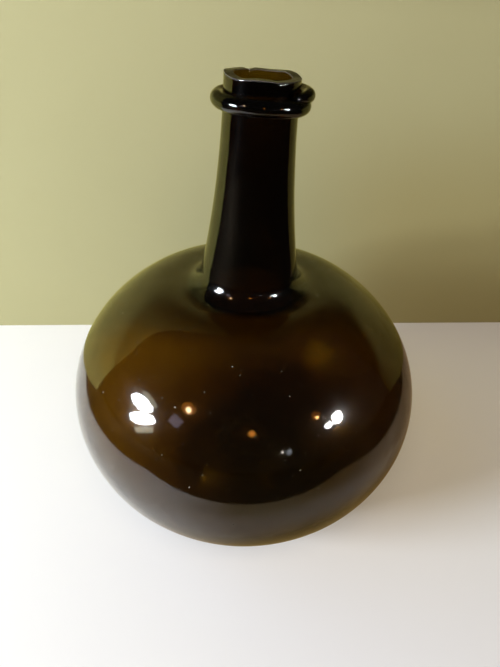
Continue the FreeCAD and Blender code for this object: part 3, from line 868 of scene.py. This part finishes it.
FLOOR_CORNERS = [(-4, -4, 0), (4, -4, 0), (4, 4, 0), (-4, 4, 0)]
flat_piece("table_top", FLOOR_CORNERS, floor_material())
flat_piece("wall", [(x, WALL_Y + WALL_TURN * x, z) for x, z in WALL_OUTLINE], wall_material())


def set_world():
    """Pale where the camera or clear glass sees it, soft light on matt things, dim in gloss."""
    world = bpy.data.worlds.new("room")
    bpy.context.scene.world = world
    world.use_nodes = True
    tree = world.node_tree
    tree.nodes.clear()
    rays = node(tree, "ShaderNodeLightPath")
    lit = node(tree, "ShaderNodeMix", {
        "Factor": rays.outputs["Is Diffuse Ray"],
        "A": (0.030, 0.027, 0.022, 1), "B": (0.04, 0.034, 0.026, 1),
    }, data_type="RGBA")
    seen = node(tree, "ShaderNodeMath", {
        0: rays.outputs["Is Camera Ray"], 1: rays.outputs["Is Transmission Ray"],
    }, operation="MAXIMUM")
    colour = node(tree, "ShaderNodeMix", {
        "Factor": seen, "A": lit.outputs[2], "B": paint("#d9d8c4"),
    }, data_type="RGBA")
    sky = node(tree, "ShaderNodeBackground", {"Color": colour.outputs[2], "Strength": 1.0})
    node(tree, "ShaderNodeOutputWorld", {"Surface": sky})


set_world()

# How far each lamp hangs from the spot on the globe that mirrors it, in metres
LAMP_DISTANCE = 2.2

# Words that a lamp's kinds are made of
ROUND = "round "
LIGHTS_ROOM = "lights the room "
NOT_MIRRORED = "not mirrored "


def hang_lamp(name, spot, direction, reach, roll, radiance, colour, kinds=""):
    """A lamp or window that the globe mirrors at a spot on it, in that direction from the spot.

    The spot is in shares of the globe's radius, and direction, reach and roll are in degrees.
    """
    is_round = ROUND in kinds
    lamp = bpy.data.lights.new(name, "AREA")
    lamp.shape = "ELLIPSE" if is_round else "RECTANGLE"
    lamp.size, lamp.size_y = (
        2 * LAMP_DISTANCE * math.tan(math.radians(angle / 2)) for angle in reach
    )
    lamp.color = paint(colour)[:3]
    area = lamp.size * lamp.size_y * (math.pi / 4 if is_round else 1)
    lamp.energy = radiance * math.pi * area
    item = bpy.data.objects.new(name, lamp)
    bpy.context.scene.collection.objects.link(item)
    turn, rise = (math.radians(angle) for angle in direction)
    level = math.cos(rise)
    heading = Vector((math.sin(turn) * level, -math.cos(turn) * level, math.sin(rise)))
    place = (Vector(spot) * GLOBE_RADIUS + Vector((0, 0, GLOBE_LEVEL))) * MM
    facing = heading.to_track_quat("Z", "Y").to_matrix() @ Matrix.Rotation(math.radians(roll), 3, "Z")
    item.location = place + heading * LAMP_DISTANCE
    item.rotation_euler = facing.to_euler()
    item.visible_camera = False
    item.visible_diffuse = LIGHTS_ROOM in kinds
    item.visible_glossy = item.visible_transmission = NOT_MIRRORED not in kinds


DAYLIGHT = "#edf5ff"
for lamp in (
    ("warm_room", (0, 0, 0), (0, 50), (40, 34), 0, 3.8, "#ffe9cd", LIGHTS_ROOM + NOT_MIRRORED),
    ("blue_sky", (0, 0, 0), (-80, 45), (40, 34), 0, 1.3, "#84b8ff", LIGHTS_ROOM + NOT_MIRRORED),
    ("window_upper", (-0.487, -0.645, 0.476), (-68.8, 18), (17, 8.4), 12, 80, DAYLIGHT, LIGHTS_ROOM + ROUND),
    ("window_lower", (-0.516, -0.705, 0.393), (-63.3, 10.9), (18.5, 7.4), 34, 80, DAYLIGHT,
     LIGHTS_ROOM + ROUND),
    ("window_top_pane", (-0.487, -0.645, 0.476), (-66, 24), (14, 5), -5, 4, "#dfe3c8", ROUND),
    ("window_sill", (-0.495, -0.75, 0.355), (-59.5, 5.5), (13, 3.6), 40, 6, "#e6ecd8"),
    ("grey_curtain", (-0.33, -0.78, 0.43), (-44, 24), (7.5, 8), -15, 2.5, "#cfc6dc"),
    ("left_lamp", (-0.24, -0.76, 0.485), (-40, 34.9), (3.2, 3.2), 0, 50, "#ffdca8", ROUND),
    ("left_shade", (-0.24, -0.76, 0.485), (-40.5, 36), (9, 8), 0, 3.2, "#ff9a30", ROUND),
    ("middle_lamp", (0.04, -0.84, 0.435), (6.5, 28.1), (4.5, 4.5), 0, 9, "#ffa03c", ROUND),
    ("right_lamp", (0.33, -0.755, 0.46), (51, 26.7), (2.4, 2.4), 0, 40, "#ffc878", ROUND),
    ("right_shade", (0.33, -0.755, 0.46), (50.5, 28), (6, 6), 0, 2, "#ff8c28", ROUND),
    ("right_window", (0.425, -0.727, 0.436), (62.7, 18.5), (7.4, 7.4), 0, 110, "#ffffff", ROUND),
    ("right_small_window", (0.383, -0.764, 0.42), (55.1, 17.6), (5.5, 4.2), -10, 45, "#ffffff", ROUND),
    ("right_glint", (0.363, -0.749, 0.449), (54.9, 23.4), (1.2, 1.2), 0, 20, "#ffe8dc", ROUND),
    ("small_lamp", (0.177, -0.877, 0.361), (23.4, 11.6), (1.6, 1.4), 0, 30, "#fff2e0", ROUND),
    ("small_panel", (0.19, -0.88, 0.36), (27.6, 11), (3, 3.4), 0, 4, "#e6ecf7"),
):
    hang_lamp(*lamp)


# The camera: lens and sensor in millimetres, its place in metres, and its turns in radians
LENS = 26.18
SENSOR_HEIGHT = 36
CAMERA_PLACE = (0, -0.4075, 0.5001)
CAMERA_TURN = -0.0095
CAMERA_DIP = 0.6382
CAMERA_ROLL = 0.044


def set_camera():
    """The photograph's view: close, above the bottle and looking down at it, held a little askew."""
    camera = bpy.data.cameras.new("camera")
    camera.sensor_fit = "VERTICAL"
    camera.sensor_height = SENSOR_HEIGHT
    camera.lens = LENS
    camera.clip_start = 0.01
    item = bpy.data.objects.new("camera", camera)
    bpy.context.scene.collection.objects.link(item)
    turned = Matrix.Rotation(CAMERA_TURN, 4, "Z")
    tipped = Matrix.Rotation(math.pi / 2 - CAMERA_DIP, 4, "X")
    rolled = Matrix.Rotation(CAMERA_ROLL, 4, "Z")
    item.matrix_world = Matrix.Translation(CAMERA_PLACE) @ turned @ tipped @ rolled
    bpy.context.scene.camera = item


set_camera()
bpy.context.scene.view_settings.view_transform = "Standard"
